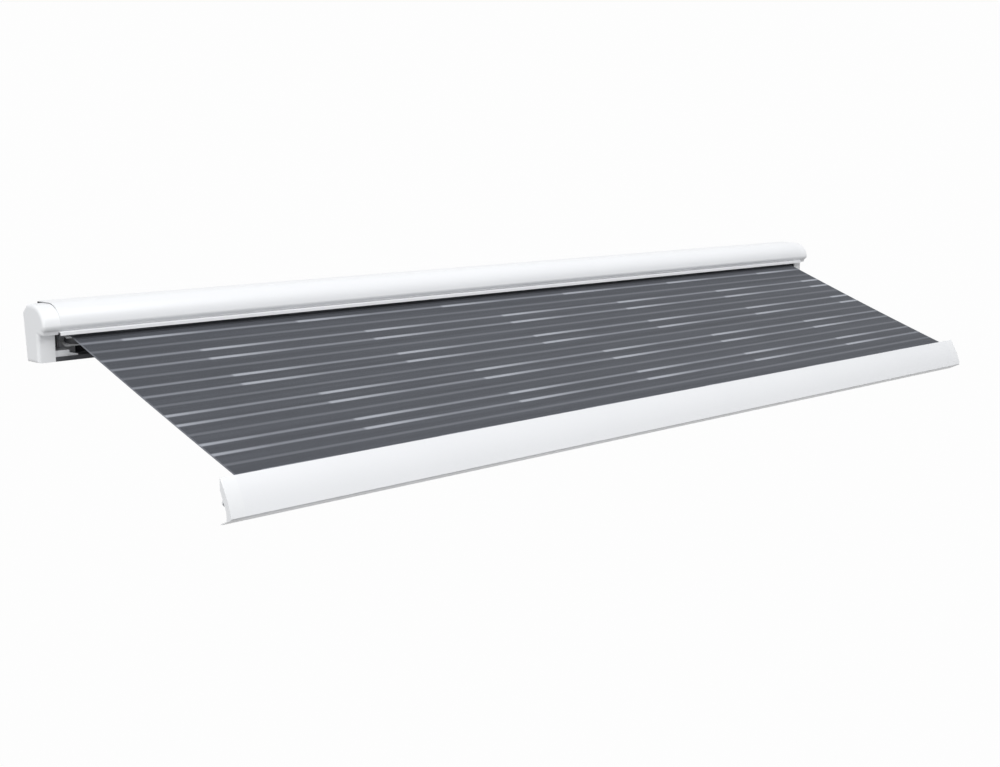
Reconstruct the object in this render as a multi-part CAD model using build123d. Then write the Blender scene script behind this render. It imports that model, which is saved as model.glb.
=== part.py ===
from build123d import *
import os
from math import asin, cos, degrees, hypot, radians, sin

os.makedirs("parts", exist_ok=True)

# A roll out awning for a caravan wall. X runs along the casing, +Y into the wall, +Z up.
# The origin lies on the wall, midway along the casing, level with the middle of the wall brackets.
# It is modelled partly rolled out. Millimetres and degrees.

# Driving sizes of the whole
awning_length = 3000.0
casing_height = 130.0
casing_depth = 88.0
end_cap_width = 42.0
awning_slope = 21.0
out_at_rest = 627.0
cover_wall = 2.2
profile_wall = 2.5
overrun = 1.0
running_gap = 0.05
seat_gap = 0.2

# Wall brackets
bracket_plate = 6.0
bracket_width = 100.0
bracket_inset = 350.0
wall_hole_radius = 3.3
wall_hole_across = 70.0
wall_hole_up = 50.0
origin_drop = 75.0

# Roller and fabric
roller_depth = 43.0
roller_drop = 36.0
roller_radius = 24.0
roller_wall = 1.5
fabric_roll_radius = 29.0
fabric_thickness = 0.6
fabric_inset = 77.0
roller_pin_radius = 5.0

# Folding arms
shoulder_inset = 100.0
shoulder_depth = 28.0
shoulder_drop = 86.0
elbow_inset = 40.0
closed_pivot_gap = 34.0
arm_width = 24.0
arm_height = 28.0
arm_wall = 2.0
eye_radius = 14.0
eye_height = 15.0
cheek_thickness = 4.5
arm_pin_radius = 5.0

# Lead rail, measured from its top rear edge
rail_inset = 30.0
rail_cap_width = 36.0
rail_edge_depth = 80.0
rail_edge_drop = 71.0
rail_lean = 34.5
rail_front_drop = 76.5
rail_height = 94.0
rail_bulge = 3.5
rail_wall = 2.2

# Support legs
leg_radius = 11.0
leg_wall = 1.5
leg_inner_radius = 9.2
leg_length = 985.0
leg_setback = 0.5
leg_drop = 53.5
leg_end_inset = 22.0

# Places that follow from the driving sizes
half_length = awning_length / 2
bracket_span = half_length - bracket_inset
seam_x = half_length - end_cap_width
casing_back = -bracket_plate
casing_top = origin_drop
out_y = -cos(radians(awning_slope))
out_z = -sin(radians(awning_slope))
down_y = sin(radians(awning_slope))
down_z = -cos(radians(awning_slope))
shoulder_x = half_length - shoulder_inset
half_arm = shoulder_x - elbow_inset
rest_fold = degrees(asin((closed_pivot_gap + out_at_rest) / (2 * half_arm)))
rail_half = half_length - rail_inset
rail_profile_half = rail_half - rail_cap_width
fabric_half = half_length - fabric_inset

# How round pieces hang from, or stand on, their place
from_top = (Align.CENTER, Align.CENTER, Align.MAX)
from_bottom = (Align.CENTER, Align.CENTER, Align.MIN)


def casing_at(depth, drop):
    return (casing_back - depth, casing_top - drop)


def rail_at(ahead, below):
    rest_y = casing_back - rail_edge_depth + out_at_rest * out_y
    rest_z = casing_top - rail_edge_drop + out_at_rest * out_z
    return (rest_y - ahead, rest_z - below)


def along_x(face, start, end):
    return Pos(start, 0, 0) * extrude(Plane.YZ * face, amount=end - start)


def ring_along_x(place, outer, inner, start, end):
    face = Circle(outer) - Circle(inner) if inner > 0 else Circle(outer)
    return along_x(Pos(*place) * face, start, end)


def both_sides(shape):
    return shape, mirror(shape, about=Plane.YZ)


def outline(points):
    return make_face(Polyline(*points, close=True))


def hand_in(name, shape):
    export_step(shape, "parts/" + name + ".step")


def group(shapes):
    return Compound(children=list(shapes))


# Casing: the back profile hangs on the wall brackets by a lip above a recess
profile_front = 60.0
profile_lip = 10.0
hook_lip_end = 27.0
recess_top = 14.0
recess_depth = 8.0
recess_end = 36.0
tongue_depth = 26.0
screw_port_radius = 4.5
screw_rib = 2.0
plate_screw_places = ((12.0, 50.0), (30.0, 121.5))
lock_screw_depth = 10.0
bracket_places = (-bracket_span, 0, bracket_span)
screw_radius = 2.5
screw_head_radius = 4.5
screw_head = 2.0
screw_length = 12.0


def lock_screw_place(x):
    y, z = casing_at(lock_screw_depth, casing_height)
    return (x, y, z)


def rectangle_between(depth_1, drop_1, depth_2, drop_2):
    corner_1 = casing_at(depth_1, drop_1)
    corner_2 = casing_at(depth_2, drop_2)
    middle = ((corner_1[0] + corner_2[0]) / 2, (corner_1[1] + corner_2[1]) / 2)
    return Pos(*middle) * Rectangle(abs(depth_2 - depth_1), abs(drop_2 - drop_1))


def make_back_profile():
    wall = profile_wall
    back = recess_depth + wall
    face = rectangle_between(0, cover_wall, tongue_depth, cover_wall + wall)
    face += rectangle_between(0, cover_wall, wall, hook_lip_end)
    face += rectangle_between(0, recess_top - wall, back, recess_top)
    face += rectangle_between(recess_depth, recess_top - wall, back, recess_end + wall)
    face += rectangle_between(0, recess_end, back, recess_end + wall)
    face += rectangle_between(0, recess_end, wall, casing_height)
    face += rectangle_between(0, casing_height - wall, profile_front, casing_height)
    lip_back = profile_front - wall
    face += rectangle_between(lip_back, casing_height - profile_lip, profile_front, casing_height)
    (rear_depth, rear_drop), (low_depth, low_drop) = plate_screw_places
    face += rectangle_between(0, rear_drop - screw_rib / 2, rear_depth, rear_drop + screw_rib / 2)
    face += rectangle_between(low_depth - screw_rib / 2, low_drop, low_depth + screw_rib / 2, casing_height)
    for place in plate_screw_places:
        face += Pos(*casing_at(*place)) * Circle(screw_port_radius)
    for place in plate_screw_places:
        face -= Pos(*casing_at(*place)) * Circle(screw_radius + running_gap)
    body = along_x(face, -seam_x, seam_x)
    for x in bracket_places:
        body -= Pos(*lock_screw_place(x)) * Cylinder(screw_radius + running_gap, 4 * wall)
    return body


# Roller cover: a rounded hood whose lower edge turns in, then out again as a flange
cover_start = 0.0
cover_flat = 40.0
undercut_depth = 79.0
undercut_drop = 61.0
flange_depth = 87.0
flange_top = 64.0
flange_drop = 70.5


def cover_outline(sunk):
    radius = casing_depth - cover_flat
    top_rear = casing_at(cover_start, sunk)
    top_front = casing_at(cover_flat, sunk)
    widest = casing_at(casing_depth, radius)
    undercut = casing_at(undercut_depth, undercut_drop)
    flange_high = casing_at(flange_depth, flange_top)
    flange_low = casing_at(flange_depth, flange_drop)
    rear_low = casing_at(cover_start, flange_drop)
    edges = Line(top_rear, top_front)
    edges += TangentArc(top_front, widest, tangent=(-1, 0))
    edges += TangentArc(widest, undercut, tangent=(0, -1))
    edges += Polyline(undercut, flange_high, flange_low, rear_low, top_rear)
    return make_face(edges)


def make_roller_cover():
    outer = cover_outline(0)
    shell = outer - offset(outer, amount=-cover_wall)
    rear_wall = rectangle_between(0, cover_wall, cover_start + cover_wall, casing_height)
    floor = rectangle_between(0, flange_drop - cover_wall, flange_depth - cover_wall, casing_height)
    return along_x(shell - rear_wall - floor, -seam_x, seam_x)


# End caps: one moulding each side, hood above and leg below, raked at the back
cap_top_sunk = 3.5
cap_wall = 3.0
cap_corner = 18.0
cap_rake = 11.0
cap_leg_depth = 61.0
cap_hood_bottom = 69.0
cap_lip = 3.0
cap_end_round = 8.0


def cap_outline():
    radius = casing_depth - cover_flat
    widest = casing_at(casing_depth, radius)
    edges = Line(casing_at(cap_rake, casing_height), casing_at(0, cap_top_sunk + cap_corner))
    edges += Line(casing_at(0, cap_top_sunk + cap_corner), casing_at(cap_corner, cap_top_sunk))
    edges += Line(casing_at(cap_corner, cap_top_sunk), casing_at(cover_flat, cap_top_sunk))
    edges += TangentArc(casing_at(cover_flat, cap_top_sunk), widest, tangent=(-1, 0))
    edges += TangentArc(widest, casing_at(undercut_depth, undercut_drop), tangent=(0, -1))
    edges += Polyline(
        casing_at(undercut_depth, undercut_drop),
        casing_at(undercut_depth - cap_lip, cap_hood_bottom),
        casing_at(cap_leg_depth, cap_hood_bottom),
        casing_at(cap_leg_depth, casing_height),
        casing_at(cap_rake, casing_height),
    )
    return make_face(edges)


crank_depth = 19.5
crank_hole_radius = 9.0


def round_far_end(body, radius):
    rim = body.faces().sort_by(Axis.X)[-1].edges()
    return fillet(rim, radius)


def make_end_cap(has_crank):
    outer = cap_outline()
    inner = offset(outer, amount=-cap_wall)
    body = round_far_end(along_x(outer, seam_x, half_length), cap_end_round)
    hollow = along_x(inner, seam_x - overrun, half_length - cap_wall)
    body -= round_far_end(hollow, cap_end_round - cap_wall)
    if has_crank:
        place = (gear_middle_x, casing_back - crank_depth, casing_top - casing_height)
        body -= Pos(*place) * Cylinder(crank_hole_radius, cap_wall * 4)
    return body


# End plates: steel plates across the profile ends, holding the roller bushes
plate_thickness = 4.0
bush_radius = 9.0
bush_width = 8.0


def roller_place():
    return casing_at(roller_depth, roller_drop)


def make_end_plate():
    face = offset(cap_outline(), amount=-(cap_wall + seat_gap))
    plate = along_x(face, seam_x, seam_x + plate_thickness)
    through = seam_x + plate_thickness + overrun
    plate -= ring_along_x(roller_place(), bush_radius, 0, seam_x - overrun, through)
    for place in plate_screw_places:
        plate -= ring_along_x(casing_at(*place), screw_radius + running_gap, 0, seam_x - overrun, through)
    return plate


def make_plate_screws():
    start = seam_x + plate_thickness
    return [Pos(start, *casing_at(*place)) * Rot(0, 90, 0) * make_screw() for place in plate_screw_places]


def make_roller_bush():
    end = seam_x + plate_thickness
    return ring_along_x(roller_place(), bush_radius, roller_pin_radius + running_gap, end - bush_width, end)


# Gear housing and its hand crank drive, behind the right end cap
gear_middle_x = seam_x + plate_thickness + 16.0
gear_width = 12.0
gear_radius = 16.5
worm_radius = 6.0
worm_length = 30.0
crank_shaft_radius = 5.0
housing_width = 28.0
housing_wall = 3.0
housing_radius = 22.5
housing_top = 17.5
housing_bottom = 78.0
eye_drop = 152.0
crank_eye_outer = 14.0
crank_eye_radius = 8.0
crank_eye_width = 8.0


def crank_axis_place(drop):
    return (gear_middle_x, casing_back - crank_depth, casing_top - drop)


def make_gear_housing():
    start = seam_x + plate_thickness
    end = start + housing_width
    block_rear = crank_depth - worm_radius - housing_wall
    face = Pos(*roller_place()) * Circle(housing_radius)
    face += rectangle_between(block_rear, housing_top, roller_depth, housing_bottom)
    body = along_x(face, start, end)
    cavity_start = gear_middle_x - gear_width / 2 - housing_wall / 2
    cavity_end = gear_middle_x + gear_width / 2 + housing_wall / 2
    body -= ring_along_x(roller_place(), gear_radius + housing_wall, 0, cavity_start, cavity_end)
    pin_room = roller_pin_radius + seat_gap
    body -= ring_along_x(roller_place(), pin_room, 0, start - overrun, cavity_start + overrun)
    head_end = start + screw_head + seat_gap
    pocket = casing_at(*plate_screw_places[0])
    body -= ring_along_x(pocket, screw_head_radius + seat_gap, 0, start - overrun, head_end)
    worm_room = worm_radius + housing_wall / 2
    body -= Pos(*crank_axis_place(roller_drop)) * Cylinder(worm_room, worm_length + housing_wall)
    down = Cylinder(crank_shaft_radius + running_gap, housing_bottom, align=from_top)
    body -= Pos(*crank_axis_place(roller_drop)) * down
    return body


def make_worm_wheel():
    start = gear_middle_x - gear_width / 2
    return ring_along_x(roller_place(), gear_radius, roller_pin_radius, start, start + gear_width)


def make_worm_shaft():
    worm = Pos(*crank_axis_place(roller_drop)) * Cylinder(worm_radius, worm_length)
    length = eye_drop - crank_eye_outer - roller_drop + crank_eye_width / 4
    stem = Cylinder(crank_shaft_radius, length, align=from_top)
    eye = Cylinder(crank_eye_outer, crank_eye_width) - Cylinder(crank_eye_radius, crank_eye_outer)
    eye = Pos(*crank_axis_place(eye_drop)) * Rot(90, 0, 0) * eye
    return worm + Pos(*crank_axis_place(roller_drop)) * stem + eye


# Roller
plug_flange = 3.0
plug_depth = 40.0


def make_roller_tube():
    half = seam_x - bush_width - plug_flange * 2
    return ring_along_x(roller_place(), roller_radius, roller_radius - roller_wall, -half, half)


def make_roller_plug(pin_end):
    half = seam_x - bush_width - plug_flange * 2
    place = roller_place()
    plug = ring_along_x(place, roller_radius - roller_wall - seat_gap, 0, half - plug_depth, half)
    plug += ring_along_x(place, roller_radius, 0, half, half + plug_flange)
    plug += ring_along_x(place, roller_pin_radius, 0, half, pin_end)
    return plug


def make_fabric_roll():
    core = roller_radius + running_gap
    return ring_along_x(roller_place(), fabric_roll_radius, core, -fabric_half, fabric_half)


# Fabric sheet from the roll to the lead rail
keder_behind = 3.0
keder_drop = 9.0
keder_radius = 2.5
keder_slot = 1.6


def keder_place():
    return rail_at(-keder_behind, keder_drop)


def roll_tangent_place():
    y, z = roller_place()
    return (y + fabric_roll_radius * down_y, z + fabric_roll_radius * down_z)


def make_fabric_sheet():
    front_y, front_z = keder_place()
    rear_y, rear_z = roll_tangent_place()
    length = hypot(front_y - rear_y, front_z - rear_z) - keder_radius
    start = (-fabric_half, rear_y, rear_z)
    sheet = Box(2 * fabric_half, length, fabric_thickness, align=(Align.MIN, Align.MAX, Align.MAX))
    return Pos(*start) * Rot(awning_slope, 0, 0) * sheet


# Arm castings, in the arm's own frame: pivot at the origin, arm along +X, normal +Z
elbow_offset = closed_pivot_gap / 2
arm_tilt = degrees(asin(elbow_offset / half_arm))
arm_line = hypot(half_arm, elbow_offset)
socket_start = 38.0
collar_length = 8.0
plug_length = 45.0
eye_half = eye_height / 2
cheek_inner = eye_half + seat_gap
cheek_outer = cheek_inner + cheek_thickness
pin_head_radius = 8.0
pin_head = 2.0
corner_radius = 6.0


def arm_section(width, height, radius):
    return Plane.YZ * RectangleRounded(width, height, radius)


def make_arm_tube():
    start = socket_start + collar_length
    length = arm_line - 2 * start
    outer = extrude(arm_section(arm_width, arm_height, corner_radius), amount=length)
    inner_width = arm_width - 2 * arm_wall
    inner_height = arm_height - 2 * arm_wall
    inner = extrude(arm_section(inner_width, inner_height, corner_radius - arm_wall), amount=length)
    return Rot(0, 0, arm_tilt) * Pos(start, 0, 0) * (outer - inner)


def make_collar_and_plug():
    collar = extrude(arm_section(arm_width, arm_height, corner_radius), amount=collar_length)
    plug_width = arm_width - 2 * arm_wall - 2 * seat_gap
    plug_height = arm_height - 2 * arm_wall - 2 * seat_gap
    plug_corner = corner_radius - arm_wall - seat_gap
    plug = extrude(arm_section(plug_width, plug_height, plug_corner), amount=plug_length)
    return collar + Pos(collar_length, 0, 0) * plug


def neck_plan(radius, offset_y):
    collar_end = Pos(socket_start + collar_length / 4, offset_y) * Rectangle(collar_length / 2, arm_width)
    plan = Circle(radius) + collar_end
    return make_hull(plan.edges())


def make_eye(offset_y, angle):
    neck = extrude(neck_plan(eye_radius, offset_y), amount=eye_half, both=True)
    plug = Rot(0, 0, angle) * Pos(socket_start, 0, 0) * make_collar_and_plug()
    if offset_y != 0:
        plug = Pos(0, elbow_offset, 0) * plug
    bore = Cylinder(arm_pin_radius + running_gap, arm_height * 2)
    return neck + plug - bore


def make_fork(offset_y, angle):
    plan = neck_plan(eye_radius + cheek_thickness / 4, offset_y)
    cheeks = extrude(plan, amount=cheek_outer, both=True)
    slot_length = socket_start + eye_radius * 2
    slot = Box(slot_length, arm_width * 4, 2 * cheek_inner, align=(Align.MAX, Align.CENTER, Align.CENTER))
    cheeks -= Pos(socket_start, 0, 0) * slot
    plug = Rot(0, 0, angle) * Pos(socket_start, 0, 0) * make_collar_and_plug()
    if offset_y != 0:
        plug = Pos(0, elbow_offset, 0) * plug
    bore = Cylinder(arm_pin_radius, arm_height * 2)
    return cheeks + plug - bore


def make_arm_pin():
    pin = Cylinder(arm_pin_radius, 2 * cheek_outer)
    head = Cylinder(pin_head_radius, pin_head, align=from_bottom)
    pin += Pos(0, 0, cheek_outer) * head
    return pin + Pos(0, 0, -cheek_outer - pin_head) * head


# Frames of the arms in the sloped plane; Y there points up the slope, towards the wall
shoulder_y = casing_back - shoulder_depth
shoulder_z = casing_top - shoulder_drop
elbow_x = half_arm * cos(radians(rest_fold))
elbow_out = half_arm * sin(radians(rest_fold))


def on_slope(x, out):
    return Pos(-shoulder_x, shoulder_y, shoulder_z) * Rot(awning_slope, 0, 0) * Pos(x, -out, 0)


def inner_arm(shape):
    return on_slope(0, 0) * Rot(0, 0, -rest_fold) * shape


def inner_arm_far_end(shape):
    turned = Pos(half_arm, 0, 0) * mirror(shape, about=Plane.YZ)
    return inner_arm(turned)


def outer_arm(shape):
    return on_slope(elbow_x, elbow_out) * Rot(0, 0, 180 + rest_fold) * shape


def outer_arm_far_end(shape):
    turned = Pos(half_arm, 0, 0) * mirror(shape, about=Plane.YZ)
    return outer_arm(turned)


def make_arms():
    tube = make_arm_tube()
    outer_tube = Pos(half_arm, 0, 0) * mirror(tube, about=Plane.YZ)
    eye_straight = make_eye(0, arm_tilt)
    eye_offset = make_eye(elbow_offset, -arm_tilt)
    fork_offset = make_fork(elbow_offset, -arm_tilt)
    pin = make_arm_pin()
    return {
        "inner_arm_tube": inner_arm(tube),
        "shoulder_knuckle": inner_arm(eye_straight),
        "elbow_fork": inner_arm_far_end(fork_offset),
        "elbow_pin": inner_arm(Pos(half_arm, 0, 0) * pin),
        "arm_spring": inner_arm(make_arm_spring()),
        "outer_arm_tube": outer_arm(outer_tube),
        "elbow_eye": outer_arm(eye_offset),
        "wrist_eye": outer_arm_far_end(eye_straight),
    }


spring_radius = 8.0
spring_length = 420.0


def make_arm_spring():
    far = arm_line - socket_start - collar_length - plug_length
    rod = Rot(0, 90, 0) * Cylinder(spring_radius, spring_length, align=from_top)
    return Rot(0, 0, arm_tilt) * Pos(far, 0, 0) * rod


# Shoulder and wrist brackets: side profiles cut by a slot for the arm's eye
bracket_half_width = 20.0
cheek_reach = 14.0
web_gap = 1.2
shoulder_base = 5.0
shoulder_web = 12.0
foot_below_pivot = 20.5
shoulder_foot_height = casing_height - shoulder_drop - profile_wall - foot_below_pivot
shoulder_foot_step = 6.0
shoulder_foot_fall = 10.5
shoulder_foot_low = shoulder_foot_height - shoulder_foot_fall
low_port_rib_rear = plate_screw_places[1][0] - screw_rib / 2 - seat_gap
low_port_rib_front = plate_screw_places[1][0] + screw_rib / 2 + seat_gap
low_port_top = plate_screw_places[1][1]


def slope_point(middle, out, down):
    y, z = middle
    return (y + out * out_y + down * down_y, z + out * out_z + down * down_z)


def cut_for_eye(body, middle, towards_rail):
    side = 1 if towards_rail else -1
    slot_out = eye_radius + web_gap
    slot = Box(4 * bracket_half_width, 2 * slot_out, 2 * cheek_inner)
    open_end = Box(4 * bracket_half_width, 4 * slot_out, 2 * cheek_inner)
    tilt = Pos(-shoulder_x, *middle) * Rot(awning_slope, 0, 0)
    body -= tilt * slot
    body -= tilt * Pos(0, side * 2 * slot_out, 0) * open_end
    return body - tilt * Cylinder(arm_pin_radius, arm_height * 2)


def make_shoulder_foot():
    # its top steps down where the wrist comes when the awning is shut
    bottom = casing_top - casing_height + profile_wall
    top = bottom + shoulder_foot_height
    inner = -shoulder_x - bracket_half_width
    face = Plane.XZ * outline([
        (-seam_x, bottom),
        (-seam_x, top),
        (inner - 2 * web_gap, top),
        (inner - web_gap, top - shoulder_foot_step),
        (-shoulder_x - pin_head / 2, bottom + shoulder_foot_low),
        (-shoulder_x, bottom),
    ])
    foot_front = profile_front - profile_wall - seat_gap
    block = extrude(face, amount=foot_front - profile_wall)
    return Pos(0, casing_back - profile_wall, 0) * block


def make_shoulder_bracket():
    middle = (shoulder_y, shoulder_z)
    wall_y = casing_back - profile_wall
    rear = (wall_y - shoulder_y) / out_y - shoulder_base
    rise = cheek_outer
    upper_front = slope_point(middle, cheek_reach, -rise)
    lower_front = slope_point(middle, cheek_reach, rise)
    lower_middle = slope_point(middle, -pin_head_radius - overrun, rise)
    upper_middle = slope_point(middle, -pin_head_radius - overrun, -rise)
    upper_rear = slope_point(middle, rear, -rise - shoulder_base)
    lower_rear = slope_point(middle, rear, rise + shoulder_base)
    face = outline([upper_front, lower_front, lower_middle, lower_rear, upper_rear, upper_middle])
    face -= rectangle_between(-casing_depth, 0, profile_wall, casing_height * 2)
    web = rectangle_between(profile_wall, shoulder_drop, shoulder_web, casing_height - profile_wall)
    middle_x = -shoulder_x
    body = along_x(face + web, middle_x - bracket_half_width, middle_x + bracket_half_width)
    body += make_shoulder_foot()
    low_port = casing_at(*plate_screw_places[1])
    body -= ring_along_x(low_port, screw_port_radius + seat_gap, 0, -half_length, middle_x + shoulder_inset)
    rib = rectangle_between(low_port_rib_rear, low_port_top, low_port_rib_front, casing_height)
    body -= along_x(rib, -half_length, middle_x + shoulder_inset)
    return cut_for_eye(body, middle, False)


def wrist_place():
    return slope_point((shoulder_y, shoulder_z), closed_pivot_gap + out_at_rest, 0)


wrist_base_top = 18.0
rail_back_drop = 25.0
rail_waist = 19.0
rail_waist_drop = 66.0


def back_wall_ahead(below):
    slant = (below - rail_back_drop) / (rail_waist_drop - rail_back_drop)
    return max(0, slant) * rail_waist


def make_wrist_bracket():
    middle = wrist_place()
    rise = cheek_outer
    base_bottom = wrist_base_top + bracket_half_width
    web_start = eye_radius + web_gap
    points = [
        rail_at(0, wrist_base_top),
        rail_at(0, rail_back_drop),
        rail_at(back_wall_ahead(base_bottom), base_bottom),
        slope_point(middle, web_start - cheek_thickness, rise),
        slope_point(middle, -cheek_reach, rise),
        slope_point(middle, -cheek_reach, -rise),
        slope_point(middle, web_start - cheek_thickness, -rise),
    ]
    middle_x = -shoulder_x
    body = along_x(outline(points), middle_x - bracket_half_width, middle_x + bracket_half_width)
    return cut_for_eye(body, middle, True)


def make_pin_at(middle):
    return Pos(-shoulder_x, *middle) * Rot(awning_slope, 0, 0) * make_arm_pin()


# Lead rail: a hollow front with a leaning face, a keder channel and a rear lip
lip_front_drop = 79.5
keder_wall = 1.8


def rail_outline():
    top = rail_at(0, 0)
    front = rail_at(rail_lean, rail_front_drop)
    chord = hypot(rail_lean, rail_front_drop)
    bulge_y = rail_lean / 2 + rail_bulge * rail_front_drop / chord
    bulge_z = rail_front_drop / 2 - rail_bulge * rail_lean / chord
    edges = ThreePointArc(top, rail_at(bulge_y, bulge_z), front)
    edges += Polyline(
        front,
        rail_at(rail_lean - rail_wall, lip_front_drop),
        rail_at(rail_waist, lip_drop_at(rail_waist)),
        rail_at(rail_waist, rail_waist_drop),
        rail_at(0, rail_back_drop),
        top,
    )
    return make_face(edges)


def lip_drop_at(ahead):
    share = (rail_lean - rail_wall - ahead) / (rail_lean - rail_wall)
    return lip_front_drop + share * (rail_height - lip_front_drop)


def lip_face():
    return outline([
        rail_at(rail_waist + rail_wall, lip_drop_at(rail_waist + rail_wall)),
        rail_at(0, rail_height),
        rail_at(0, rail_height - rail_wall),
        rail_at(rail_waist + rail_wall, lip_drop_at(rail_waist + rail_wall) - rail_wall),
    ])


def make_lead_rail():
    outer = rail_outline()
    face = outer - offset(outer, amount=-rail_wall)
    channel = Pos(*keder_place()) * Circle(keder_radius + keder_wall)
    face += channel + lip_face()
    face -= Pos(*keder_place()) * Circle(keder_radius + seat_gap)
    slot = Rectangle(keder_radius * 4, keder_slot, align=(Align.MIN, Align.CENTER))
    face -= Pos(*keder_place()) * Rot(0, 0, awning_slope) * slot
    return along_x(face, -rail_profile_half, rail_profile_half)


def make_front_keder():
    return ring_along_x(keder_place(), keder_radius, 0, -fabric_half, fabric_half)


rail_plate = 3.0
rail_plug = 20.0


def make_rail_cap():
    outer = rail_outline()
    plate = along_x(outer + lip_face(), rail_half - rail_plate, rail_half)
    skin = along_x(outer - offset(outer, amount=-rail_wall) + lip_face(), rail_profile_half, rail_half)
    sleeve_end = rail_profile_half + rail_plate
    sleeve_face = offset(outer, amount=-rail_wall - seat_gap)
    sleeve_face -= offset(outer, amount=-rail_wall - seat_gap - rail_plate)
    sleeve = along_x(sleeve_face, rail_profile_half - rail_plug, sleeve_end)
    step = along_x(outer - offset(outer, amount=-rail_wall - rail_plate), rail_profile_half, sleeve_end)
    return plate + skin + step + sleeve


# Support legs: hinged near the rail ends, stowed inward along the rail
hinge_x = rail_half - leg_end_inset
head_radius = 10.0
head_half = 5.5
hinge_ear = 3.5
hinge_round = 12.0
hinge_rise = 18.0
hinge_base_top = 16.0
hinge_base_bottom = 41.0
hinge_base_thickness = 4.5
hinge_base_length = 14.0
leg_pin_radius = 4.0
leg_gap = 0.2
leg_start = 16.0
leg_plug = 30.0
clamp_length = 24.0
clamp_lug_half = 5.5
clamp_lug_drop = 19.0
lever_half = 2.8
lever_length = 60.0
lever_thickness = 5.0
lever_pin_radius = 2.0
foot_length = 16.0
foot_thickness = 5.0
foot_reach = 14.0
clip_wall = 2.0
clip_width = 14.0
clip_distances = (268.0, 828.0)


def leg_place():
    return rail_at(leg_setback, leg_drop)


def leg_frame():
    # local X runs from the hinge along the stowed leg, local Y up the slope, local Z square to the slope
    return Pos(-hinge_x, *leg_place()) * Rot(awning_slope, 0, 0)


def leg_rod(radius, start, end):
    rod = Rot(0, 90, 0) * Cylinder(radius, end - start, align=from_bottom)
    return Pos(start, 0, 0) * rod


def across_leg(sketch, half):
    return Rot(90, 0, 0) * extrude(sketch, amount=half, both=True)


def rail_solid(start, end):
    return along_x(rail_outline(), start, end)


def make_leg_hinge():
    ear_outer = head_half + running_gap + hinge_ear
    slot_half = head_half + running_gap
    top = Pos(0, hinge_rise / 2) * Rectangle(2 * hinge_round, hinge_rise)
    body = across_leg(Circle(hinge_round) + top, ear_outer)
    room = Circle(leg_radius + leg_gap)
    below = Pos(0, -hinge_round) * Rectangle(4 * hinge_round, 2 * hinge_round)
    beside = Pos(hinge_round, 0) * Rectangle(2 * hinge_round, 2 * (leg_radius + leg_gap))
    body -= across_leg(room + below + beside, slot_half)
    body -= across_leg(Circle(leg_pin_radius), 4 * ear_outer)
    base = outline([
        rail_at(0, hinge_base_top),
        rail_at(0, rail_back_drop),
        rail_at(back_wall_ahead(hinge_base_bottom), hinge_base_bottom),
        rail_at(back_wall_ahead(hinge_base_bottom) - hinge_base_thickness, hinge_base_bottom),
        rail_at(-hinge_base_thickness, rail_back_drop + hinge_base_thickness / 2),
        rail_at(-hinge_base_thickness, hinge_base_top),
    ])
    base_start = -hinge_x - hinge_round
    body = leg_frame() * body + along_x(base, base_start, base_start + 2 * hinge_round + hinge_base_length)
    return body - rail_solid(-rail_half - overrun, base_start + 6 * hinge_round)


def make_leg_pin():
    return leg_frame() * across_leg(Circle(leg_pin_radius), head_half + running_gap + hinge_ear)


def make_leg_head():
    eye = across_leg(Circle(head_radius), head_half)
    neck = Box(leg_start, 2 * head_half, 2 * leg_radius, align=(Align.MIN, Align.CENTER, Align.CENTER))
    body = eye + (neck & leg_rod(leg_radius, 0, leg_start))
    body += leg_rod(leg_radius, leg_start - hinge_ear, leg_start)
    body += leg_rod(leg_radius - leg_wall - running_gap, leg_start - overrun, leg_start + leg_plug)
    return leg_frame() * (body - across_leg(Circle(leg_pin_radius + running_gap), 4 * leg_radius))


def clamp_start():
    return leg_length - foot_length - clamp_length - leg_gap


def make_leg_tube():
    start = leg_start
    end = clamp_start()
    return leg_frame() * (leg_rod(leg_radius, start, end) - leg_rod(leg_radius - leg_wall, start, end))


def lever_place():
    middle = clamp_start() + clamp_length / 2
    return Pos(middle, 0, -clamp_lug_drop + lever_thickness)


def make_leg_clamp():
    start = clamp_start()
    ring = leg_rod(leg_radius, start, start + clamp_length)
    ring += leg_rod(leg_radius - leg_wall - running_gap, start - leg_plug, start)
    lug = Circle(lever_thickness)
    lug += Pos(0, lever_thickness) * Rectangle(2 * lever_thickness, 2 * lever_thickness)
    lug_body = lever_place() * across_leg(lug, clamp_lug_half)
    lever_room = Rectangle(4 * lever_thickness, 3 * lever_thickness)
    lever_room = Pos(-lever_thickness, -lever_thickness) * lever_room
    lug_body -= lever_place() * across_leg(lever_room, lever_half + running_gap)
    lug_body -= lever_place() * across_leg(Circle(lever_pin_radius + running_gap), 4 * clamp_lug_half)
    body = ring + lug_body
    body -= leg_rod(leg_inner_radius + running_gap, start - 2 * leg_plug, start + 2 * clamp_length)
    return leg_frame() * body


def make_leg_lever():
    half = lever_thickness / 2
    plan = Circle(half)
    plan += Pos(-lever_length / 2, 0) * Rectangle(lever_length, lever_thickness - overrun)
    body = across_leg(plan, lever_half) + across_leg(Circle(lever_pin_radius), clamp_lug_half)
    return leg_frame() * lever_place() * body


def make_leg_inner():
    return leg_frame() * leg_rod(leg_inner_radius, leg_start + 2 * leg_plug, leg_length - foot_length)


def make_leg_foot():
    plan = Circle(leg_radius) + Pos(foot_reach, 0) * Circle(leg_radius)
    plate = Rot(0, 90, 0) * extrude(make_hull(plan.edges()), amount=foot_thickness)
    body = Pos(leg_length - foot_thickness, 0, 0) * plate
    body += leg_rod(leg_radius - leg_wall, leg_length - foot_length, leg_length - foot_thickness)
    return leg_frame() * body


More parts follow.
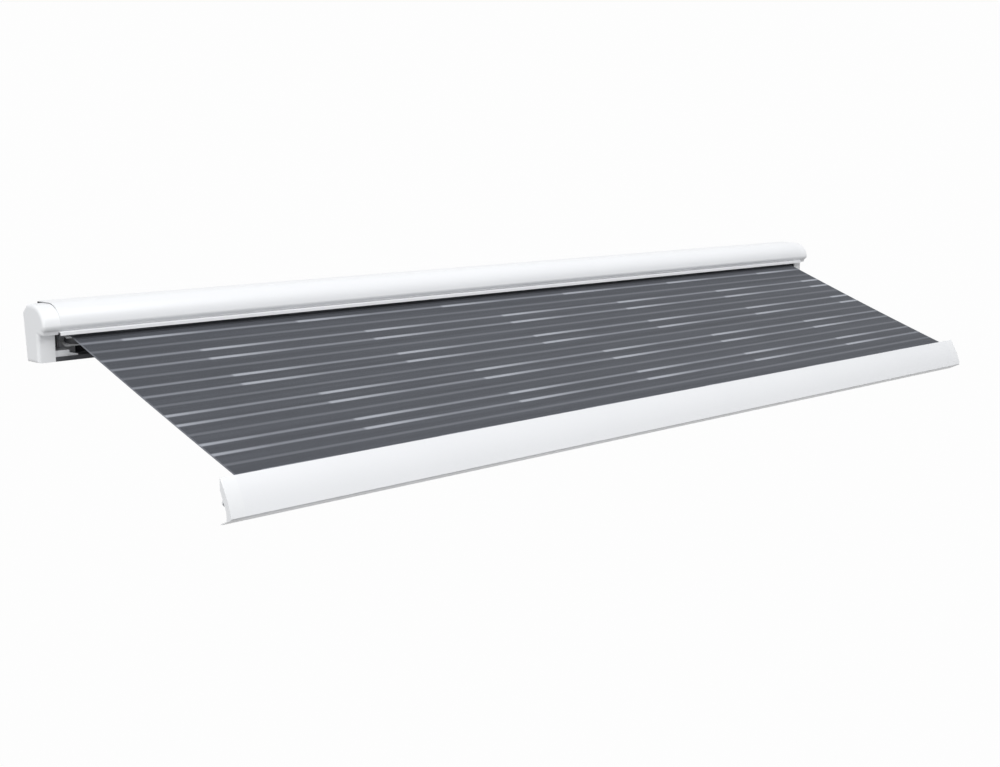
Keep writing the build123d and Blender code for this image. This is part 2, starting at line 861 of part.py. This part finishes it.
def make_leg_clip(x):
    ring = Circle(leg_radius + leg_gap + clip_wall) - Circle(leg_radius + leg_gap)
    side = 2 * (leg_radius + clip_wall)
    ring = ring & (Rectangle(side, side, align=(Align.MIN, Align.MIN)))
    body = Rot(awning_slope, 0, 0) * extrude(Plane.YZ * ring, amount=clip_width, both=True)
    body = Pos(x, *leg_place()) * body
    leg_y, leg_z = leg_place()
    root = outline([
        rail_at(0, hinge_base_top),
        rail_at(0, rail_back_drop),
        rail_at(back_wall_ahead(hinge_base_bottom), hinge_base_bottom),
        (leg_y, leg_z + leg_radius + leg_gap + clip_wall / 2),
        rail_at(-clip_wall, rail_back_drop + clip_wall),
        rail_at(-clip_wall, hinge_base_top),
    ])
    body += along_x(root, x - clip_width, x + clip_width)
    body -= ring_along_x(leg_place(), leg_radius + leg_gap, 0, x - 2 * clip_width, x + 2 * clip_width)
    return body - rail_solid(x - 2 * clip_width, x + 2 * clip_width)


# Small parts of the casing and rail
seal_height = 8.0
countersink = 3.3
bracket_hook_gap = 0.3
bracket_tab = 24.0
bracket_tab_thickness = 3.0


def make_wall_bracket(middle_x):
    top = hook_lip_end - profile_wall * 2
    hook_back = profile_wall + bracket_hook_gap
    low = hook_lip_end + bracket_hook_gap
    tab_top = casing_height + bracket_hook_gap
    tab_low = tab_top + bracket_tab_thickness
    face = rectangle_between(-bracket_plate, low, 0, tab_low)
    face += rectangle_between(0, low, hook_back + profile_wall, low + profile_wall)
    face += rectangle_between(hook_back, top, hook_back + profile_wall, low + profile_wall)
    face += rectangle_between(0, tab_top, bracket_tab, tab_low)
    half = bracket_width / 2
    body = along_x(face, middle_x - half, middle_x + half)
    for side in (-1, 1):
        for level in (-1, 1):
            place = (middle_x + side * wall_hole_across / 2, casing_back, level * wall_hole_up / 2)
            body -= Pos(*place) * Rot(90, 0, 0) * Cylinder(wall_hole_radius, bracket_plate * 4)
            sink = Cone(wall_hole_radius, 2 * wall_hole_radius, countersink, align=from_top)
            body -= Pos(*place) * Rot(90, 0, 0) * sink
    return body - Pos(*lock_screw_place(middle_x)) * Cylinder(screw_radius + running_gap, 4 * bracket_tab)


def make_lock_screw(middle_x):
    x, y, z = lock_screw_place(middle_x)
    below = bracket_hook_gap + bracket_tab_thickness
    return Pos(x, y, z - below) * Rot(180, 0, 0) * make_screw()


def make_wall_seal():
    face = rectangle_between(-bracket_plate, cover_wall, 0, cover_wall + seal_height)
    return along_x(face, -seam_x, seam_x)


def make_screw():
    shank = Cylinder(screw_radius, screw_length, align=from_top)
    head = Cylinder(screw_head_radius, screw_head, align=from_bottom)
    return shank + head


hand_in("wall_brackets", group(make_wall_bracket(x) for x in bracket_places))
hand_in("back_profile", make_back_profile())
hand_in("roller_cover", make_roller_cover())
hand_in("right_end_cap", make_end_cap(True))
hand_in("left_end_cap", mirror(make_end_cap(False), about=Plane.YZ))
hand_in("end_plates", group(both_sides(make_end_plate())))
hand_in("roller_bushes", group(both_sides(make_roller_bush())))
hand_in("gear_housing", make_gear_housing())
hand_in("worm_wheel", make_worm_wheel())
hand_in("worm_shaft", make_worm_shaft())
hand_in("wall_seal", make_wall_seal())
hand_in("roller_tube", make_roller_tube())
hand_in("roller_drive_plug", make_roller_plug(gear_middle_x + gear_width / 2))
hand_in("roller_idler_plug", mirror(make_roller_plug(seam_x + plate_thickness), about=Plane.YZ))
hand_in("fabric_roll", make_fabric_roll())
hand_in("fabric_sheet", make_fabric_sheet())
for name, shape in make_arms().items():
    left, right = both_sides(shape)
    hand_in("left_" + name, left)
    hand_in("right_" + name, right)
left, right = both_sides(make_shoulder_bracket())
hand_in("left_shoulder_bracket", left)
hand_in("right_shoulder_bracket", right)
hand_in("shoulder_pins", group(both_sides(make_pin_at((shoulder_y, shoulder_z)))))
hand_in("lead_rail", make_lead_rail())
right_rail_cap, left_rail_cap = both_sides(make_rail_cap())
hand_in("right_rail_cap", right_rail_cap)
hand_in("left_rail_cap", left_rail_cap)
hand_in("front_keder", make_front_keder())
left, right = both_sides(make_wrist_bracket())
hand_in("left_wrist_bracket", left)
hand_in("right_wrist_bracket", right)
hand_in("wrist_pins", group(both_sides(make_pin_at(wrist_place()))))
left, right = both_sides(make_leg_hinge())
hand_in("left_leg_hinge", left)
hand_in("right_leg_hinge", right)
hand_in("leg_pins", group(both_sides(make_leg_pin())))
for name, shape in (
    ("leg_head", make_leg_head()),
    ("leg_tube", make_leg_tube()),
    ("leg_clamp", make_leg_clamp()),
    ("leg_lever", make_leg_lever()),
    ("leg_inner", make_leg_inner()),
    ("leg_foot", make_leg_foot()),
):
    left, right = both_sides(shape)
    hand_in("left_" + name, left)
    hand_in("right_" + name, right)
clip_places = [side * (hinge_x - far) for side in (-1, 1) for far in clip_distances]
hand_in("leg_clips", group(make_leg_clip(x) for x in clip_places))
plate_screws = [screw for pair in map(both_sides, make_plate_screws()) for screw in pair]
hand_in("casing_screws", group(plate_screws + [make_lock_screw(x) for x in bracket_places]))
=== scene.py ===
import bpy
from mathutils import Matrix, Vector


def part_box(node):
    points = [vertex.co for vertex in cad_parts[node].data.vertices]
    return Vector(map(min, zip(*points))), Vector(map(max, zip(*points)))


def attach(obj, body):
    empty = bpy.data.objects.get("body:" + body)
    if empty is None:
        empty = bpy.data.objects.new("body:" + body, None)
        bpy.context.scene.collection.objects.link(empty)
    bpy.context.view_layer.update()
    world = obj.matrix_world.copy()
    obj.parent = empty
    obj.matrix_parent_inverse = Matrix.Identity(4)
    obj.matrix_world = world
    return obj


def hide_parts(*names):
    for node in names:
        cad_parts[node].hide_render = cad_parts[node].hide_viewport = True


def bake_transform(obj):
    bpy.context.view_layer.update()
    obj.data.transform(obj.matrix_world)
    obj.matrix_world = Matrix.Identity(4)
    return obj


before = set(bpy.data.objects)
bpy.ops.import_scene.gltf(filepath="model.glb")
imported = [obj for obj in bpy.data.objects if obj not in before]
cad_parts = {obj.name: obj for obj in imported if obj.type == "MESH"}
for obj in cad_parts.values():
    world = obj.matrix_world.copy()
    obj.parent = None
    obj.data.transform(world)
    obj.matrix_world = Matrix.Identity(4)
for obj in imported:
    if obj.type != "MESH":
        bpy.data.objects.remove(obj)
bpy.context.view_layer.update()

from math import cos, radians, sin

import bmesh
import bpy
from mathutils import Matrix, Vector

mm = 0.001
slope = radians(21.0)  # the fall of arms and fabric
outward = Vector((0.0, -cos(slope), -sin(slope)))  # from the wall to the lead rail
upward = Vector((0.0, -sin(slope), cos(slope)))  # square to the fabric


class Wire:
    # one node's output, so that shader maths reads as sums

    def __init__(self, finish, link):
        self.finish = finish
        self.link = link

    def __add__(self, other):
        return self.finish.math("ADD", self, other)

    def __radd__(self, other):
        return self.finish.math("ADD", other, self)

    def __sub__(self, other):
        return self.finish.math("SUBTRACT", self, other)

    def __rsub__(self, other):
        return self.finish.math("SUBTRACT", other, self)

    def __mul__(self, other):
        return self.finish.math("MULTIPLY", self, other)

    def __rmul__(self, other):
        return self.finish.math("MULTIPLY", other, self)

    def __truediv__(self, other):
        return self.finish.math("DIVIDE", self, other)

    def __rtruediv__(self, other):
        return self.finish.math("DIVIDE", other, self)

    def __gt__(self, other):
        return self.finish.math("GREATER_THAN", self, other)

    def __lt__(self, other):
        return self.finish.math("LESS_THAN", self, other)


class Finish:
    # a material or a world under construction

    def __init__(self, name, kind="materials"):
        self.block = getattr(bpy.data, kind).new(name)
        self.block.use_nodes = True
        self.tree = self.block.node_tree
        self.tree.nodes.clear()

    def node(self, kind, settings=None, sockets=None, output=0):
        made = self.tree.nodes.new(kind)
        for key, value in (settings or {}).items():
            setattr(made, key, value)
        for key, value in (sockets or {}).items():
            if isinstance(value, Wire):
                self.tree.links.new(value.link, made.inputs[key])
            else:
                made.inputs[key].default_value = value
        return Wire(self, made.outputs[output]) if made.outputs else None

    def math(self, operation, *values):
        return self.node("ShaderNodeMath", {"operation": operation}, dict(enumerate(values)))

    def coordinates(self):
        return self.node("ShaderNodeTexCoord", output="Object")

    def stretched(self, scale, place):
        return self.node("ShaderNodeMapping", {}, {"Vector": place, "Scale": scale})

    def noise(self, place, scale=1.0, detail=2.0, roughness=0.5):
        sockets = {"Vector": place, "Scale": scale, "Detail": detail, "Roughness": roughness}
        return self.node("ShaderNodeTexNoise", {}, sockets)

    def fit(self, value, span, result=(0.0, 1.0)):
        sockets = {
            "Value": value,
            "From Min": span[0],
            "From Max": span[1],
            "To Min": result[0],
            "To Max": result[1],
        }
        return self.node("ShaderNodeMapRange", {"clamp": True}, sockets)

    def mix(self, factor, first, second):
        sockets = {"Factor": factor, 6: first, 7: second}
        return self.node("ShaderNodeMix", {"data_type": "RGBA"}, sockets, output=2)

    def bump(self, height):
        # heights are in metres
        return self.node("ShaderNodeBump", {}, {"Height": height, "Distance": 1.0, "Strength": 1.0})

    def surface(self, **sockets):
        names = {key.replace("_", " "): value for key, value in sockets.items()}
        shader = self.node("ShaderNodeBsdfPrincipled", {}, names)
        self.node("ShaderNodeOutputMaterial", {}, {"Surface": shader})
        return self.block


whitePaint = {
    "light": (0.815, 0.82, 0.83, 1.0),
    "dark": (0.795, 0.8, 0.812, 1.0),
    "roughness": (0.27, 0.33),
    "cloudScale": 5.0,
    "cloudSpan": (0.15, 0.85),
    "peelScale": 620.0,
    "peelHeight": 0.000012,
    "dieLineScale": (0.4, 900.0, 900.0),
    "dieLineHeight": 0.000006,
    "specular": 0.5,
}

# a near-black coat; on back_profile and shoulder_knuckle, white-coated parts inside the casing, it is
# painted shade of the casing's interior
shadeAndDarkPaint = {
    **whitePaint,
    "light": (0.075, 0.077, 0.083, 1.0),
    "dark": (0.06, 0.062, 0.068, 1.0),
    "roughness": (0.4, 0.5),
    "peelScale": 500.0,
    "peelHeight": 0.00003,
    "dieLineScale": (0.4, 700.0, 700.0),
    "dieLineHeight": 0.00001,
}

castPaint = {**whitePaint, "peelScale": 420.0, "peelHeight": 0.00007}


def makePaint(name, values, dieLines=True):
    finish = Finish(name)
    place = finish.coordinates()
    cloud = finish.noise(place, values["cloudScale"], detail=3.0)
    peel = finish.noise(place, values["peelScale"], detail=1.0)
    height = peel * values["peelHeight"]
    if dieLines:
        lines = finish.noise(finish.stretched(values["dieLineScale"], place), detail=1.0)
        height = height + lines * values["dieLineHeight"]
    colour = finish.mix(finish.fit(cloud, values["cloudSpan"]), values["light"], values["dark"])
    rough = finish.fit(cloud, values["cloudSpan"], values["roughness"])
    normal = finish.bump(height)
    specular = values["specular"]
    return finish.surface(Base_Color=colour, Roughness=rough, Normal=normal, Specular_IOR_Level=specular)


whitePlastic = {
    "light": (0.83, 0.835, 0.84, 1.0),
    "dark": (0.81, 0.815, 0.822, 1.0),
    "roughness": (0.3, 0.4),
    "cloudScale": 9.0,
    "cloudSpan": (0.15, 0.85),
    "grainScale": 1400.0,
    "grainSpan": (0.3, 0.7),
    "grainHeight": 0.00002,
}

greyPlastic = {
    **whitePlastic,
    "light": (0.085, 0.088, 0.092, 1.0),
    "dark": (0.06, 0.062, 0.066, 1.0),
    "roughness": (0.45, 0.6),
    "grainScale": 1800.0,
    "grainHeight": 0.00004,
}

rubber = {
    **whitePlastic,
    "light": (0.03, 0.03, 0.031, 1.0),
    "dark": (0.02, 0.02, 0.021, 1.0),
    "roughness": (0.62, 0.8),
    "grainScale": 900.0,
    "grainHeight": 0.00006,
}


def makePlastic(name, values):
    finish = Finish(name)
    place = finish.coordinates()
    cloud = finish.noise(place, values["cloudScale"])
    grain = finish.noise(place, values["grainScale"], roughness=0.6)
    colour = finish.mix(finish.fit(cloud, values["cloudSpan"]), values["light"], values["dark"])
    rough = finish.fit(grain, values["grainSpan"], values["roughness"])
    normal = finish.bump(grain * values["grainHeight"])
    return finish.surface(Base_Color=colour, Roughness=rough, Normal=normal)


millAluminium = {
    "light": (0.77, 0.78, 0.79, 1.0),
    "dark": (0.66, 0.67, 0.68, 1.0),
    "roughness": (0.28, 0.46),
    "grainScale": (3.0, 1200.0, 1200.0),
    "grainSpan": (0.3, 0.7),
    "grainShare": 0.6,  # in the roughness; the smudges have the rest
    "smudgeShare": 0.4,
    "smudgeScale": 14.0,
    "grainHeight": 0.00002,
}

zincSteel = {
    **millAluminium,
    "light": (0.62, 0.63, 0.65, 1.0),
    "dark": (0.47, 0.48, 0.5, 1.0),
    "roughness": (0.25, 0.45),
    "grainScale": (260.0, 260.0, 260.0),
}

bearingBrass = {
    **millAluminium,
    "light": (0.72, 0.55, 0.28, 1.0),
    "dark": (0.58, 0.42, 0.2, 1.0),
    "roughness": (0.22, 0.4),
    "grainScale": (500.0, 90.0, 90.0),
}


def makeMetal(name, values):
    finish = Finish(name)
    place = finish.coordinates()
    grain = finish.noise(finish.stretched(values["grainScale"], place), detail=3.0, roughness=0.6)
    smudge = finish.noise(place, values["smudgeScale"])
    colour = finish.mix(finish.fit(grain, values["grainSpan"]), values["light"], values["dark"])
    wear = grain * values["grainShare"] + smudge * values["smudgeShare"]
    rough = finish.fit(wear, values["grainSpan"], values["roughness"])
    normal = finish.bump(grain * values["grainHeight"])
    return finish.surface(Base_Color=colour, Metallic=1.0, Roughness=rough, Normal=normal)


cloth = {
    "base": (0.058, 0.063, 0.076, 1.0),
    "deep": (0.04, 0.044, 0.054, 1.0),
    "faint": (0.115, 0.122, 0.14, 1.0),
    "line": (0.19, 0.2, 0.226, 1.0),
    "bright": (0.37, 0.386, 0.425, 1.0),
    "pitch": 0.042,  # from one line to the next
    "linesInCycle": 3.0,  # two clear lines and a faint one
    "lastClearLine": 1.5,  # the faint one's place in the cycle is above this
    "lineWidth": 0.0088,
    "lineEdge": (0.5, 1.5),  # shares of half the width between which a line fades
    "firstLine": 0.0126,  # how far the lines start from the roll
    "dashLength": 0.496,  # a bright stretch and the plain one after it
    "dashRise": (0.0, 0.35),  # shares of that length over which the stretch grows
    "dashFall": (0.48, 0.5),  # and ends
    "dashStart": 0.847,  # where the first stretch ends, a share too
    "dashPairStep": 0.303,  # the step from one pair of cycles to the next
    "dashLineStep": -0.01,  # and the step from a cycle's first line to its second
    "bandScale": (1.2, 55.0, 1.0),
    "bandShare": 0.6,
    "yarnScale": (9.0, 700.0, 1.0),
    "yarnShare": 0.4,
    "groundSpan": (0.38, 0.62),
    "threadScale": 1500.0,
    "threadWander": 0.4,
    "threadShade": 0.12,
    "threadHeight": 0.00006,
    "selvedgeWidth": 0.004,
    "selvedgeShade": 0.6,
    "selvedgeHeight": 0.0003,
    "roughness": 0.82,
    "sheen": 0.1,
    "specular": 0.3,
}


def clothLines(finish, along, down, values):
    # how far each point lies in a clear line, a faint one and a bright stretch;
    # the half added before a FLOOR keeps whole numbers off its steps
    rows = (down - values["firstLine"]) / values["pitch"]
    row = finish.math("FLOOR", rows)
    within = finish.math("FRACT", rows)
    middle = finish.math("ABSOLUTE", within - 0.5)
    half = values["lineWidth"] / values["pitch"] / 2.0
    line = finish.fit(middle, [half * share for share in values["lineEdge"]], (1.0, 0.0))
    cycle = finish.math("FLOOR", (row + 0.5) / values["linesInCycle"])
    place = row - cycle * values["linesInCycle"]
    faint = place > values["lastClearLine"]
    pair = finish.math("FLOOR", (cycle + 1.5) / 2.0)
    steps = pair * values["dashPairStep"] + place * values["dashLineStep"] + values["dashStart"]
    dash = finish.math("FRACT", along / values["dashLength"] + steps)
    stretch = finish.fit(dash, values["dashRise"]) * finish.fit(dash, values["dashFall"], (1.0, 0.0))
    return line, faint, stretch


def makeCloth(name, values, halfWidth):
    finish = Finish(name)
    uv = finish.node("ShaderNodeUVMap", {"uv_map": "cloth"})
    split = finish.node("ShaderNodeSeparateXYZ", {}, {"Vector": uv})
    along, down = [Wire(finish, split.link.node.outputs[side]) for side in "XY"]
    line, faint, stretch = clothLines(finish, along, down, values)
    band = finish.noise(finish.stretched(values["bandScale"], uv))
    yarn = finish.noise(finish.stretched(values["yarnScale"], uv))
    wave = {"Vector": uv, "Scale": values["threadScale"], "Distortion": values["threadWander"]}
    threads = [
        finish.node("ShaderNodeTexWave", {"wave_type": "BANDS", "bands_direction": side}, wave)
        for side in "XY"
    ]
    weave = finish.math("MAXIMUM", *threads)
    tone = finish.fit(band * values["bandShare"] + yarn * values["yarnShare"], values["groundSpan"])
    ground = finish.mix(tone, values["deep"], values["base"])
    ground = finish.mix(line * faint, ground, values["faint"])
    clear = line * (1.0 - faint)
    ground = finish.mix(clear, ground, values["line"])
    ground = finish.mix(clear * stretch, ground, values["bright"])
    edge = finish.math("ABSOLUTE", along)
    selvedge = edge > (halfWidth - values["selvedgeWidth"])
    ground = finish.mix(selvedge * values["selvedgeShade"], ground, values["line"])
    colour = finish.mix(weave * values["threadShade"], ground, values["deep"])
    normal = finish.bump(weave * values["threadHeight"] + selvedge * values["selvedgeHeight"])
    return finish.surface(
        Base_Color=colour,
        Roughness=values["roughness"],
        Normal=normal,
        Sheen_Weight=values["sheen"],
        Specular_IOR_Level=values["specular"],
    )


rollCloth = {
    "light": (0.3, 0.31, 0.33, 1.0),
    "dark": (0.09, 0.097, 0.112, 1.0),
    "threadScale": (20.0, 1500.0, 1500.0),
    "threadHeight": 0.0001,
    "windingScale": (1.5, 260.0, 260.0),
    "windingSpan": (0.52, 0.6),
    "roughness": 0.85,
}


def makeRollCloth(name, values):
    finish = Finish(name)
    place = finish.coordinates()
    threads = finish.noise(finish.stretched(values["threadScale"], place))
    wound = finish.noise(finish.stretched(values["windingScale"], place), detail=1.0)
    colour = finish.mix(finish.fit(wound, values["windingSpan"]), values["dark"], values["light"])
    normal = finish.bump(threads * values["threadHeight"])
    return finish.surface(Base_Color=colour, Roughness=values["roughness"], Normal=normal)


print("finishes")
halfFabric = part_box("fabric_roll")[1][0]  # half the cloth's width
finishes = {
    "paint": makePaint("powderCoat", whitePaint),
    "dark": makePaint("darkCoatAndShade", shadeAndDarkPaint),
    "cast": makePaint("coatedCasting", castPaint, dieLines=False),
    "plastic": makePlastic("mouldedWhite", whitePlastic),
    "grey": makePlastic("mouldedGrey", greyPlastic),
    "rubber": makePlastic("blackRubber", rubber),
    "mill": makeMetal("millAluminium", millAluminium),
    "zinc": makeMetal("zincSteel", zincSteel),
    "brass": makeMetal("bearingBrass", bearingBrass),
    "cloth": makeCloth("stripedCloth", cloth, halfFabric),
    "rollCloth": makeRollCloth("woundCloth", rollCloth),
}

# words in the nodes' names; the first finish with a word that fits is taken
finishOf = {
    "rollCloth": ("fabric_roll", "fabric_sheet", "front_keder"),
    # back_profile and shoulder_knuckle take the dark coat as painted shade in place of their white coat
    "dark": ("back_profile", "end_plates", "shoulder_knuckle"),
    "paint": ("roller_cover", "lead_rail", "arm_tube"),
    "plastic": ("end_cap", "rail_cap"),
    "cast": ("leg_hinge", "_bracket", "elbow_fork", "elbow_eye", "wrist_eye"),
    "mill": ("leg_tube", "leg_inner", "roller_tube"),
    "brass": ("bushes", "worm_wheel"),
    "grey": ("leg_clamp", "leg_lever", "leg_clips", "leg_head", "gear_housing", "_plug"),
    "rubber": ("leg_foot", "wall_seal"),
    "zinc": ("pin", "screws", "worm_shaft", "spring"),
}


def dressNodes():
    for name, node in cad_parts.items():
        for key, words in finishOf.items():
            if any(word in name for word in words):
                node.data.materials.clear()
                node.data.materials.append(finishes[key])
                break
        else:
            print("no finish for", name)


dressNodes()


def newPiece(name, mesh, material, body=None):
    data = bpy.data.meshes.new(name)
    mesh.to_mesh(data)
    mesh.free()
    piece = bpy.data.objects.new(name, data)
    bpy.context.scene.collection.objects.link(piece)
    data.materials.append(material)
    if body:
        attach(piece, body)
    return piece


def layCloth(mesh, spot):
    # spot gives a vertex's place on the flat cloth
    layer = mesh.loops.layers.uv.new("cloth")
    for face in mesh.faces:
        for loop in face.loops:
            loop[layer].uv = spot(loop.vert)


def newCloth(name, mesh, thickness, body=None):
    bmesh.ops.recalc_face_normals(mesh, faces=mesh.faces)
    piece = newPiece(name, mesh, finishes["cloth"], body)
    thick = piece.modifiers.new("thickness", "SOLIDIFY")
    thick.thickness = thickness
    thick.offset = 0.0
    return piece


print("fabric")
rollShape = {
    "layer": 0.5 * mm,
    "pitch": 0.56 * mm,  # from one turn to the next
    "turns": 7.5,
    "stepsInTurn": 64,
}


def makeRoll(values):
    # the cloth on the roller, wound inward from where the sheet leaves it
    low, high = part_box("fabric_roll")
    centre = Vector((0.0, (low[1] + high[1]) / 2, (low[2] + high[2]) / 2))
    radius = (high[2] - low[2]) / 2 - values["layer"] / 2
    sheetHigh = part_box("fabric_sheet")[1]
    leaves = Vector((0.0, sheetHigh[1], sheetHigh[2])) - centre
    side = 1.0 if leaves.dot(upward) > 0 else -1.0
    steps = round(values["turns"] * values["stepsInTurn"])
    wholeTurn = radians(360.0 * values["turns"])
    mesh = bmesh.new()
    mesh.verts.new(centre + upward * side * radius - Vector((halfFabric, 0.0, 0.0)))
    bmesh.ops.spin(
        mesh, geom=mesh.verts[:], cent=centre, axis=(1.0, 0.0, 0.0), angle=-side * wholeTurn, steps=steps
    )
    run = mesh.verts.layers.float.new("run")
    for step, vert in enumerate(mesh.verts):
        share = step / steps
        shrink = 1.0 - values["pitch"] * values["turns"] * share / radius
        vert.co.y = centre.y + (vert.co.y - centre.y) * shrink
        vert.co.z = centre.z + (vert.co.z - centre.z) * shrink
        vert[run] = radius * (1.0 + shrink) / 2 * wholeTurn * share
    far = bmesh.ops.extrude_edge_only(mesh, edges=mesh.edges[:])["geom"]
    farVerts = [item for item in far if isinstance(item, bmesh.types.BMVert)]
    bmesh.ops.translate(mesh, verts=farVerts, vec=(2 * halfFabric, 0.0, 0.0))
    layCloth(mesh, lambda vert: (-vert.co.x, -vert[run]))
    roll = newCloth("woundRoll", mesh, values["layer"], "roller")
    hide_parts("fabric_roll")


makeRoll(rollShape)

sheetShape = {
    "acrossSteps": 96,
    "alongSteps": 40,
    "sag": 2.5 * mm,
    "ripple": 0.5 * mm,
    "rippleTurn": 23.0,  # radians of ripple in a metre of width
    "lift": -0.3 * mm,  # off the fabric's centre line
    "start": 28.5 * mm,  # how far from the roll, so that shut it stays off the wall brackets
    "blendEnds": (0.98, 0.02),  # shares of the length for two points, at the rail end and the roll end, which nothing uses
    "thickness": 0.5 * mm,
}

leadInShape = {
    **sheetShape,
    "alongSteps": 4,
    "sag": 0.0,
    "ripple": 0.0,
    "lift": 0.25 * mm,
    "start": 0.0,
    "length": 53.0 * mm,  # long enough to meet the sheet midway
}


def clothStrip(name, start, length, values, body=None):
    # a strip from start, a point on the fabric's centre line, outward along the slope
    mesh = bmesh.new()
    bmesh.ops.create_grid(mesh, x_segments=values["acrossSteps"], y_segments=values["alongSteps"], size=0.5)
    bmesh.ops.scale(mesh, verts=mesh.verts, vec=(2 * halfFabric, length, 1.0))
    layCloth(mesh, lambda vert: (vert.co.x, vert.co.y + length / 2 + values["start"]))
    for vert in mesh.verts:
        share = vert.co.y / length + 0.5
        ripple = values["ripple"] * sin(vert.co.x * values["rippleTurn"])
        vert.co.z = -4 * values["sag"] * share * (1 - share) + ripple * share * (1 - share)
    turn = Matrix.Rotation(slope, 4, "X") @ Matrix.Rotation(radians(180.0), 4, "Z")
    bmesh.ops.transform(mesh, verts=mesh.verts, matrix=turn)
    middle = start + outward * (length / 2) + upward * values["lift"]
    bmesh.ops.translate(mesh, verts=mesh.verts, vec=middle)
    return newCloth(name, mesh, values["thickness"], body)


def makeFabric(values, leadIn):
    low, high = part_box("fabric_sheet")
    rear = Vector((0.0, high[1], high[2]))
    front = Vector((0.0, low[1], low[2]))
    start = rear + outward * values["start"]
    length = (front - rear).length - values["start"]
    main = clothStrip("stripedSheet", start, length, values)
    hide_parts("fabric_sheet")
    railEnd, rollEnd = [tuple(start + outward * length * share) for share in values["blendEnds"]]
    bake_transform(main)
    lead = clothStrip("sheetLeadIn", rear, leadIn["length"], leadIn, "casing")


makeFabric(sheetShape, leadInShape)


print("stage")
stage = {
    "floorDrop": 5.0,
    "floorSize": 70.0,
    "floorColour": (0.36, 0.36, 0.36, 1.0),
    "floorGlow": (1.0, 1.0, 1.0, 1.0),
    "groundShare": 0.98,  # white in the floor; the rest is lit and takes the shadow
    "worldColour": (0.95, 0.97, 1.0, 1.0),
    "worldStrength": 0.57,
    "seenWhite": (0.985, 0.985, 0.985, 1.0),  # the world beside the floor, as white as the floor
}

keyLamp = {"power": 222.0, "place": (0.4, -3.5, 4.9), "size": 4.0, "target": (0.0, -0.3, 0.0)}
fillLamp = {"power": 112.0, "place": (-5.3, -2.0, 1.1), "size": 4.0, "target": (0.0, -0.3, -0.1)}


def seenShare(finish):
    # 1 where the ground is seen, straight, in a gloss or through glass
    kinds = ("Is Camera Ray", "Is Glossy Ray", "Is Transmission Ray")
    straight, glossy, through = [finish.node("ShaderNodeLightPath", output=kind) for kind in kinds]
    return finish.math("MAXIMUM", straight, finish.math("MAXIMUM", glossy, through))


def makeFloor(values):
    mesh = bmesh.new()
    bmesh.ops.create_grid(mesh, x_segments=1, y_segments=1, size=values["floorSize"] / 2)
    bmesh.ops.translate(mesh, verts=mesh.verts, vec=(0.0, 0.0, -values["floorDrop"]))
    finish = Finish("paleFloor")
    lit = finish.node("ShaderNodeBsdfDiffuse", {}, {"Color": values["floorColour"]})
    white = finish.node("ShaderNodeEmission", {}, {"Color": values["floorGlow"], "Strength": 1.0})
    share = seenShare(finish) * values["groundShare"]
    both = finish.node("ShaderNodeMixShader", {}, {0: share, 1: lit, 2: white})
    finish.node("ShaderNodeOutputMaterial", {}, {"Surface": both})
    floor = newPiece("floor", mesh, finish.block)


def makeWorld(values):
    finish = Finish("studio", "worlds")
    glow = {"Color": values["worldColour"], "Strength": values["worldStrength"]}
    plain = finish.node("ShaderNodeBackground", {}, glow)
    seen = finish.node("ShaderNodeBackground", {}, {"Color": values["seenWhite"]})
    both = finish.node("ShaderNodeMixShader", {}, {0: seenShare(finish), 1: plain, 2: seen})
    finish.node("ShaderNodeOutputWorld", {}, {"Surface": both})
    bpy.context.scene.world = finish.block


def aim(item, at, facing):
    # a lamp or a camera at a point, its -Z axis along facing
    item.location = at
    item.rotation_euler = facing.to_track_quat("-Z", "Y").to_euler()
    bpy.context.scene.collection.objects.link(item)


def makeLamp(name, values):
    data = bpy.data.lights.new(name, "AREA")
    data.energy = values["power"]
    data.size = values["size"]
    facing = Vector(values["target"]) - Vector(values["place"])
    aim(bpy.data.objects.new(name, data), values["place"], facing)


makeFloor(stage)
makeWorld(stage)
makeLamp("key", keyLamp)
makeLamp("fill", fillLamp)
bpy.context.scene.view_settings.view_transform = "Standard"

print("camera")
cameraView = {
    "place": (-3.188, -3.053, 0.41),
    "yaw": 46.4,  # degrees to the right of straight at the wall
    "pitch": 8.8,  # degrees down
    "focalPixels": 1532.0,
    "frameWidth": 1000.0,
    "sensorWidth": 36.0,
    "clip": (0.05, 100.0),
}


def makeCamera(values):
    data = bpy.data.cameras.new("photoView")
    data.sensor_width = values["sensorWidth"]
    data.lens = values["focalPixels"] / values["frameWidth"] * data.sensor_width
    data.clip_start, data.clip_end = values["clip"]
    camera = bpy.data.objects.new("photoView", data)
    yaw, pitch = radians(values["yaw"]), radians(values["pitch"])
    facing = Vector((sin(yaw) * cos(pitch), cos(yaw) * cos(pitch), -sin(pitch)))
    aim(camera, values["place"], facing)
    bpy.context.scene.camera = camera


makeCamera(cameraView)

bpy.context.view_layer.update()
